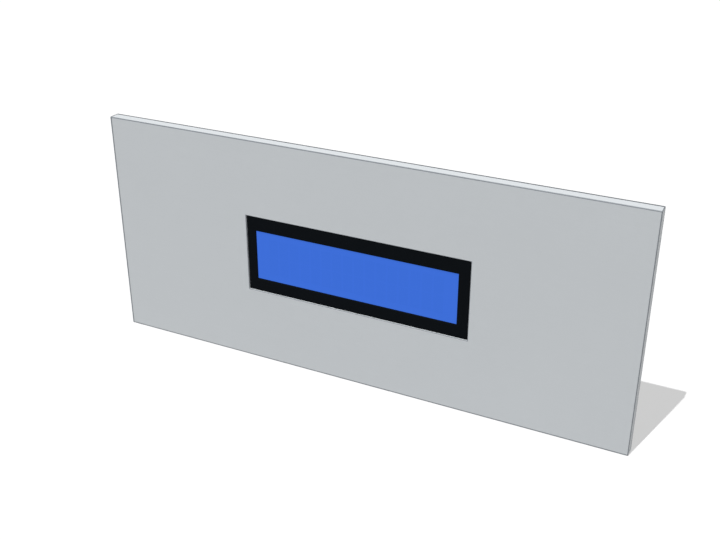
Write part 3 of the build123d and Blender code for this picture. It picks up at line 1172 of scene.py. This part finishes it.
    def bus_tracks(self) -> np.ndarray:
        """Level tracks between the two covers, the ladder's links, and the short ones at the side.

        Returns:
            Lines as (x, z, x, z).
        """
        z = np.array(self.bus_levels)
        bus = np.stack([self.rim_x(Cover.LEFT, z, 1), z, self.rim_x(Cover.RIGHT, z, -1), z], -1)
        ladder = np.array(LADDER_XS)
        low, high = self.link_levels
        height = np.array([low, high, low, high])
        links = np.stack([ladder[:-1], height, ladder[1:], height], -1)
        end = self.ladder_end
        ends = np.array([[ladder[0], high, -end, high], [ladder[-1], low, end, low]])
        side_z = np.array(SIDE_CHIP_ZS[:2])
        land_x = np.full(2, self.side_land)
        sides = np.stack([self.rim_x(Cover.RIGHT, side_z, 1), side_z, land_x, side_z], -1)
        (near, far), (upper, lower) = self.rail_xs, side_z
        rail = runs([(near, upper), (far, upper - far + near), (far, lower), (near, lower)])
        return np.concatenate([bus, links, ends, sides, rail])

    def fan(self, cover: Cover, up: int, level: float, count: int) -> np.ndarray:
        """Upright tracks from a cover's rim to a row of vias, every second of which is nearer.

        Args:
            cover: The cover.
            up: 1 for tracks above the cover, -1 for those below.
            level: Z of the row.
            count: How many there are.

        Returns:
            Lines as (x, z, x, z), the via at the last point.
        """
        x = cover * COVER_X + self.via_pitch * (np.arange(count) - (count - 1) / 2)
        stagger = level - up * self.via_stagger * (np.arange(count) % 2)
        return np.stack([x, self.rim_z(cover, x, up), x, stagger], -1)

    def tracks(self, back: float) -> Shape:
        """All the copper under the mask.

        A via is a dome: its radius follows the cosine of an angle from 0 to 90 degrees, and its
        height the sine.

        Args:
            back: Y of the board's back face.

        Returns:
            Tracks and the small domes of the vias.
        """
        fans = [self.fan(*row) for row in self.fans]
        lines = np.concatenate([self.header_tracks(), self.bus_tracks(), *fans])
        angle = np.linspace(0, np.pi / 2, self.via_rows)
        radii = np.concatenate([[0], self.via_radius * np.cos(angle)])
        heights = back + np.concatenate([[0], self.via_height * np.sin(angle)])
        places = from_middle(np.concatenate([line[:, 2:] for line in fans]))
        shapes = [
            self.raised(lines, back, self.track_width, self.track_height),
            self.raised(self.supply_tracks(), back, self.supply_width, self.supply_height),
            turned(places, radii, heights, self.via_columns, False),
        ]
        return Shape.joined(shapes)

    def legend(self, back: float) -> Shape:
        """Printed outlines of the header, covers and chip parts, and a mark at the first pin.

        Args:
            back: Y of the board's back face.

        Returns:
            The print, a hair above the mask.
        """
        long, short, margin = self.box_long, self.box_short, self.header_margin
        left, right = self.header.xs()[[0, -1]] + [-margin, margin]
        low, high = self.header.z - long, self.header.z + long
        chips = [(x, COVER_Z, short, long) for x in LADDER_XS]
        chips += [(SIDE_CHIP_X, z, long, short) for z in SIDE_CHIP_ZS]
        boxes = [(x - w, z - h, x + w, z + h) for x, z, w, h in chips] + [(left, low, right, high)]
        x0, z0, x1, z1 = np.array(boxes).T
        sides = [(x0, z0, x1, z0), (x1, z0, x1, z1), (x1, z1, x0, z1), (x0, z1, x0, z0)]
        lines = np.concatenate([np.stack(side, -1) for side in sides])
        rings = from_middle([(cover * COVER_X, COVER_Z) for cover in Cover])
        radii, heights = rim_profile(*self.ring_radii, back, back + self.print_height, self.ring_edge)
        mark = from_middle([np.array(self.mark) + [left, low]])
        shapes = [
            self.raised(lines, back, self.print_width, self.box_height),
            turned(rings, radii, heights, self.ring_columns, True),
            plates(mark, back, back + self.print_height),
        ]
        return Shape.joined(shapes)


@dataclass
class Backlight:
    """Tray, sheets, guide and the strip of LEDs, with solder at its leads."""

    lead_x: float = 38.05
    lead_spacing: float = 8.0
    solder_foot: float = 0.85
    solder_height: float = 0.8
    solder_top: float = 0.34

    def build(self, board_back: float) -> None:
        """Dresses the backlight and solders its leads.

        Args:
            board_back: Y of the board's back face.
        """
        dress(FILM, "diffuser_sheet", "reflector_sheet")
        dress(ACRYLIC, "light_guide")
        dress(WHITE_TRAY, "backlight_tray")
        dress(WHITE_BOARD, "led_board")
        dress(PHOSPHOR, "led_chip_1", "led_chip_2", "led_chip_3")
        dress(TINNED, "backlight_leads")
        places = from_middle([(self.lead_x, side * self.lead_spacing / 2) for side in (-1, 1)])
        fillets = solder_fillets(places, board_back, self.solder_height, self.solder_foot, self.solder_top)
        add_piece("lead_solder", fillets, TINNED)


@dataclass
class ResinCovers:
    """The two blobs of black resin over the controller and driver dies."""

    radius: float = 7.32
    height: float = 1.68
    fullness: float = 2.6
    shoulder: float = 0.62
    shrink: float = 0.024
    swings: tuple[float, float, float] = (0.012, 0.008, 0.004)
    lean: float = 0.03
    turns: tuple[float, float] = (0.4, 2.3)
    rows: int = 26
    columns: int = 120

    def build(self, back: float) -> None:
        """Makes both blobs.

        Args:
            back: Y of the board's back face.
        """
        for name, cover, turn in zip(("controller_cover", "driver_cover"), Cover, self.turns):
            place = from_middle([(cover * COVER_X, COVER_Z)])
            add_piece(f"{name}_blob", self.blob(place, back, turn), BLACK_RESIN, name)

    def blob(self, place: np.ndarray, back: float, turn: float) -> Shape:
        """Resin that has flowed out and set.

        With t the share of the radius, the height is (1 - t ** fullness) ** shoulder of the full
        one, so it is flat on top and steep at the rim. The rim swings by a few hundredths as waves
        of 2, 3 and 7 to the turn, and the top leans a little.

        Args:
            place: (x, z) of its middle.
            back: Y of the board's back face.
            turn: Where the rim's swing starts, in radians.

        Returns:
            The closed blob.
        """
        angle = np.linspace(0, 2 * np.pi, self.columns, endpoint=False)[None, :]
        share = np.sin(np.linspace(0, np.pi / 2, self.rows))[:, None]
        waves = (np.sin(2 * angle + turn), np.sin(3 * angle - turn), np.sin(7 * angle))
        swing = sum(size * wave for size, wave in zip(self.swings, waves))
        radius = self.radius * share * (1 - self.shrink + swing * share)
        tilt = 1 + self.lean * share * (np.sin(angle + turn) - 1)
        rise = (1 - share**self.fullness) ** self.shoulder * tilt
        height = back + self.height * np.clip(rise, 0, 1)
        radius = np.concatenate([radius, np.zeros((1, self.columns))])
        height = np.concatenate([height, np.full((1, self.columns), back)])
        return turned(place, radius, height, self.columns, False)


@dataclass
class ChipParts:
    """Resistors and a capacitor with tinned ends, soldered to their lands."""

    length: float = 2.0
    width: float = 1.25
    resistor_height: float = 0.5
    capacitor_height: float = 0.9
    glaze: float = 0.38
    end: float = 0.36
    edge: float = 0.06
    inset: float = 0.03
    solder_reach: float = 0.55
    solder_tuck: float = 0.2
    solder_rise: float = 0.7
    solder_hollow: float = 2.2
    solder_width: float = 0.94
    solder_rows: int = 7

    def build(self, back: float) -> None:
        """Makes the bodies, ends and solder.

        Args:
            back: Y of the board's back face.
        """
        top_z, middle_z, bottom_z = SIDE_CHIP_ZS
        ladder = from_middle([(x, COVER_Z) for x in LADDER_XS])
        level = from_middle([(SIDE_CHIP_X, top_z), (SIDE_CHIP_X, bottom_z)])
        resistors = [(ladder, self.resistor_height, True), (level, self.resistor_height, False)]
        capacitor = (from_middle([(SIDE_CHIP_X, middle_z)]), self.capacitor_height, False)
        finish = ResistorFinish(
            "glazed_resistor", "resistor", (226, 224, 218), roughness=0.3, glaze_y=back + self.glaze
        )
        names = [f"ladder_resistor_{number}" for number in range(1, len(LADDER_XS) + 1)]
        names += ["clock_resistor", "backlight_resistor"]
        bodies = Shape.joined([self.bodies(back, *row) for row in resistors])
        add_piece("resistor_bodies", bodies, finish, *names)
        add_piece("capacitor_body", self.bodies(back, *capacitor), TAN_CERAMIC, "supply_capacitor")
        ends = Shape.joined([self.ends(back, *row) for row in (*resistors, capacitor)])
        add_piece("chip_ends", ends, TINNED)

    def bodies(self, back: float, places: np.ndarray, height: float, upright: bool) -> Shape:
        """Ceramic between the two ends.

        Args:
            back: Y of the board's back face.
            places: (x, z) of each part.
            height: Height of the part.
            upright: Whether its length runs along Z.

        Returns:
            The bodies.
        """
        centres = np.stack([places[:, 0], np.full(len(places), back + height / 2), places[:, 1]], -1)
        long, short, thick = self.length - self.end, self.width - 2 * self.inset, height - 2 * self.inset
        sizes = (short, thick, long) if upright else (long, thick, short)
        return rounded_blocks(centres, sizes, self.edge)

    def ends(self, back: float, places: np.ndarray, height: float, upright: bool) -> Shape:
        """Tinned ends with a hollow run of solder down to the land on each side.

        The run's section falls from a share of the part's height to the land as a power of one less
        the share of its reach, and it is carried across the part's width.

        Args:
            back: Y of the board's back face.
            places: (x, z) of each part.
            height: Height of the part.
            upright: Whether its length runs along Z.

        Returns:
            Ends, solder and lands.
        """
        along, across = (1, 0) if upright else (0, 1)
        sides = np.tile([-1.0, 1.0], len(places))
        spots = np.repeat(places, 2, axis=0).astype(float)
        spots[:, along] += sides * (self.length - self.end) / 2
        centres = np.stack([spots[:, 0], np.full(len(spots), back + height / 2), spots[:, 1]], -1)
        sizes = (self.width, height, self.end) if upright else (self.end, height, self.width)
        share = np.linspace(0, 1, self.solder_rows)
        under = [-self.solder_tuck]
        out = self.end / 2 + np.concatenate([under, self.solder_reach * share, under])
        top = self.solder_rise * height
        rise = np.concatenate([[top], top * (1 - share) ** self.solder_hollow, [0]])
        reach = spots[:, [along]] + sides[:, None] * out
        y = back + rise + 0 * reach
        edges = []
        for half in (-0.5, 0.5):
            wide = spots[:, [across]] + half * self.width * self.solder_width + 0 * reach
            edges.append(np.stack([wide, y, reach] if upright else [reach, y, wide], -1))
        return Shape.joined([rounded_blocks(centres, sizes, self.edge), prisms(*edges)])


@dataclass
class Fixings:
    """Studs with a rolled thread, nylon sleeves, washers and nuts."""

    x: float = 37.5
    z: float = 15.5
    columns: int = 48
    stud_radius: float = 1.25
    thread_pitch: float = 0.45
    thread_depth: float = 0.13
    thread_rows: int = 10
    thread_fade: float = 0.4
    tip_drop: float = 0.3
    flange: float = 0.8
    flange_radii: tuple[float, ...] = (0.0, 1.9, 2.0, 2.0, 1.9, 1.45, 1.3)
    flange_rises: tuple[float, ...] = (0.0, 0.0, 0.1, 0.7, 0.8, 0.8, 0.8)
    bore: float = 1.35
    sleeve_radius: float = 2.45
    sleeve_edge: float = 0.12
    washer_radius: float = 2.5
    washer_edge: float = 0.1
    washer: float = 0.5
    nut_half_flats: float = 2.5
    nut_height: float = 2.0
    nut_face: float = 0.95
    nut_cone: float = 30.0
    nut_sink: float = 0.28
    nut_clearance: float = 0.02
    nut_bevel: float = 0.05
    nut_columns: int = 72

    def build(self, back: float) -> None:
        """Makes the four sets.

        Args:
            back: Y of the board's back face.
        """
        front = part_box("circuit_board")[0].y / MM
        panel_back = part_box("front_panel")[1].y / MM
        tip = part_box("panel_stud_1")[1].y / MM
        flange_top, washer_top = panel_back + self.flange, back + self.washer
        sleeve = rim_profile(self.bore, self.sleeve_radius, flange_top, front, self.sleeve_edge)
        washer = rim_profile(self.bore, self.washer_radius, back, washer_top, self.washer_edge)
        corners = [(-self.x, self.z), (self.x, self.z), (-self.x, -self.z), (self.x, -self.z)]
        for number, corner in enumerate(corners, start=1):
            place = from_middle([corner])
            stud = self.stud(place, panel_back, tip)
            tube, disc = (turned(place, *profile, self.columns, True) for profile in (sleeve, washer))
            nut = self.nut(place, washer_top)
            add_piece(f"threaded_stud_{number}", stud, STUD_METAL, f"panel_stud_{number}")
            add_piece(f"nylon_sleeve_{number}", tube, NYLON, f"spacer_sleeve_{number}")
            add_piece(f"flat_washer_{number}", disc, ZINC, f"washer_{number}")
            add_piece(f"nut_{number}", nut, ZINC, f"hex_nut_{number}", bevel=self.nut_bevel)

    def stud(self, place: np.ndarray, start: float, tip: float) -> Shape:
        """Stud with a flange at the panel and a helical thread.

        At angle a and height h the thread's radius is the stud's, less a depth times
        0.5 - 0.5 cos(2 pi h / pitch - a). The depth fades in past the flange, and the tip's edge
        is turned down.

        Args:
            place: (x, z) of its axis.
            start: Y of the panel's back.
            tip: Y of its end.

        Returns:
            The closed stud.
        """
        root, fade = start + self.flange, self.thread_fade
        h = np.linspace(root, tip, int((tip - root) / self.thread_pitch * self.thread_rows))[:, None]
        angle = np.linspace(0, 2 * np.pi, self.columns, endpoint=False)
        wave = 0.5 - 0.5 * np.cos(2 * np.pi * h / self.thread_pitch - angle)
        cut = self.thread_depth * wave * np.clip((h - root - fade) / fade, 0, 1)
        turned_down = self.tip_drop * np.clip((h - tip + fade) / fade, 0, 1)
        level = np.zeros((1, self.columns))
        flange = level + np.array(self.flange_radii)[:, None]
        rises = level + start + np.array(self.flange_rises)[:, None]
        shank = self.stud_radius - np.maximum(cut, turned_down)
        radii = np.concatenate([flange, shank, level])
        heights = np.concatenate([rises, h + 0 * wave, level + tip])
        return turned(place, radii, heights, self.columns, False)

    def nut(self, place: np.ndarray, start: float) -> Shape:
        """Hexagon nut whose corners are turned back on both faces.

        Its side is at half the flats over cos(a), with a the angle from the nearest flat's middle. The
        side begins where a cone from the face's circle meets it.

        Args:
            place: (x, z) of its axis.
            start: Y of its near face.

        Returns:
            The closed nut.
        """
        angle = np.linspace(0, 2 * np.pi, self.nut_columns, endpoint=False)
        side = self.nut_half_flats / np.cos((angle % (np.pi / 3)) - np.pi / 6)
        flat = np.zeros(self.nut_columns)
        face = flat + self.nut_half_flats * self.nut_face
        drop = (side - face) * math.tan(math.radians(self.nut_cone))
        bore = flat + self.stud_radius + self.nut_clearance
        low, high = flat + start, flat + start + self.nut_height
        mouth, sink = bore + self.nut_sink, self.nut_sink
        radius = np.stack([bore, mouth, face, side, side, face, mouth, bore])
        height = np.stack([low + sink, low, low, low + drop, high - drop, high, high, high - sink])
        return turned(place, radius, height, self.nut_columns, True)


@dataclass
class Studio:
    """Camera, sun, surrounding light and floor, at the photograph's view.

    The camera's clip distances and the floor's reach are in metres.
    """

    eye: tuple[float, float, float] = (118.32, -233.17, 165.09)
    target: tuple[float, float, float] = (2.235, -1.85, 38.29)
    lens: float = 50.383
    sensor: float = 36.0
    sun_ray: tuple[float, float, float] = (0.1023, 0.4469, -0.8887)
    sun_strength: float = 3.82
    sun_spread: float = 0.4
    clip: tuple[float, float] = (0.005, 50.0)
    ambient: float = 0.316
    right_light: float = 0.8
    right_falloff: float = 2.0
    floor_reach: float = 6.0
    floor_shade: float = 0.4
    floor_glow: float = 0.45
    floor_bounce: float = 0.3

    def build(self) -> None:
        """Sets up the whole studio."""
        self.camera()
        self.sun()
        self.world()
        self.floor()
        LOG.info("studio ready")

    def camera(self) -> None:
        """Places the camera and turns it to its target."""
        data = bpy.data.cameras.new("camera")
        data.lens, data.sensor_width, data.sensor_fit = self.lens, self.sensor, "HORIZONTAL"
        data.clip_start, data.clip_end = self.clip
        camera = put_in_scene("camera", data)
        eye, target = Vector(self.eye) * MM, Vector(self.target) * MM
        camera.location = eye
        camera.rotation_euler = (target - eye).to_track_quat("-Z", "Y").to_euler()
        bpy.context.scene.camera = camera

    def sun(self) -> None:
        """One lamp with parallel rays and a crisp shadow."""
        data = bpy.data.lights.new("sun", "SUN")
        data.energy, data.angle = self.sun_strength, math.radians(self.sun_spread)
        lamp = put_in_scene("sun", data)
        lamp.rotation_euler = Vector(self.sun_ray).to_track_quat("-Z", "Y").to_euler()

    def seen(self, sheet: NodeSheet) -> Socket:
        """Tells what is looked at from what only lights the scene.

        Args:
            sheet: Where the nodes go.

        Returns:
            1 for rays that come from the camera, a gloss or a clear piece, or else 0.
        """
        path = sheet.add("ShaderNodeLightPath")
        gloss = sheet.math("ADD", path.outputs["Is Camera Ray"], path.outputs["Is Glossy Ray"])
        return sheet.math("ADD", gloss, path.outputs["Is Transmission Ray"], clamp=True)

    def world(self) -> None:
        """Grey light all round, brighter from the right, and white where it is seen."""
        world = bpy.data.worlds.new("studio")
        bpy.context.scene.world = world
        world.use_nodes = True
        sheet = NodeSheet(world.node_tree)
        sheet.tree.nodes.clear()
        direction = sheet.add("ShaderNodeTexCoord").outputs["Generated"]
        right = sheet.add("ShaderNodeSeparateXYZ", {0: direction}).outputs[0]
        share = sheet.math("POWER", sheet.math("MAXIMUM", right, 0.0), self.right_falloff)
        strength = sheet.math("MULTIPLY_ADD", share, self.right_light, self.ambient)
        lamp = sheet.add("ShaderNodeBackground", {"Color": WHITE, "Strength": strength})
        white = sheet.add("ShaderNodeBackground", {"Color": WHITE, "Strength": 1.0})
        sheet.add("ShaderNodeOutputWorld", {"Surface": sheet.mix(self.seen(sheet), lamp, white)})

    def floor(self) -> None:
        """Pale floor that keeps the shadow and is white round it."""
        mesh = bpy.data.meshes.new("floor")
        reach = self.floor_reach
        corners = [(-reach, -reach, 0), (reach, -reach, 0), (reach, reach, 0), (-reach, reach, 0)]
        mesh.from_pydata(corners, [], [(0, 1, 2, 3)])
        material = bpy.data.materials.new("pale_floor")
        material.use_nodes = True
        sheet = NodeSheet(material.node_tree)
        sheet.tree.nodes.clear()
        shade, bounce = (
            sheet.add("ShaderNodeBsdfDiffuse", {"Color": (value,) * 3 + (1,)})
            for value in (self.floor_shade, self.floor_bounce)
        )
        glow = sheet.add("ShaderNodeEmission", {"Color": WHITE, "Strength": self.floor_glow})
        bright = sheet.add("ShaderNodeAddShader", {0: shade.outputs[0], 1: glow.outputs[0]})
        sheet.add("ShaderNodeOutputMaterial", {"Surface": sheet.mix(self.seen(sheet), bounce, bright)})
        mesh.materials.append(material)
        floor = put_in_scene("floor", mesh)


def main() -> None:
    """Builds each sub-assembly in order, then the studio."""
    logging.basicConfig(level=logging.INFO, format="%(message)s")
    bpy.context.scene.view_settings.view_transform = "Standard"
    FrontPanel().build()
    Display().build()
    header = PinHeader()
    back = CircuitBoard(header).build()
    header.build()
    Backlight().build(back)
    ResinCovers().build(back)
    ChipParts().build(back)
    Fixings().build(back)
    Studio().build()


if __name__ == "__main__":
    main()
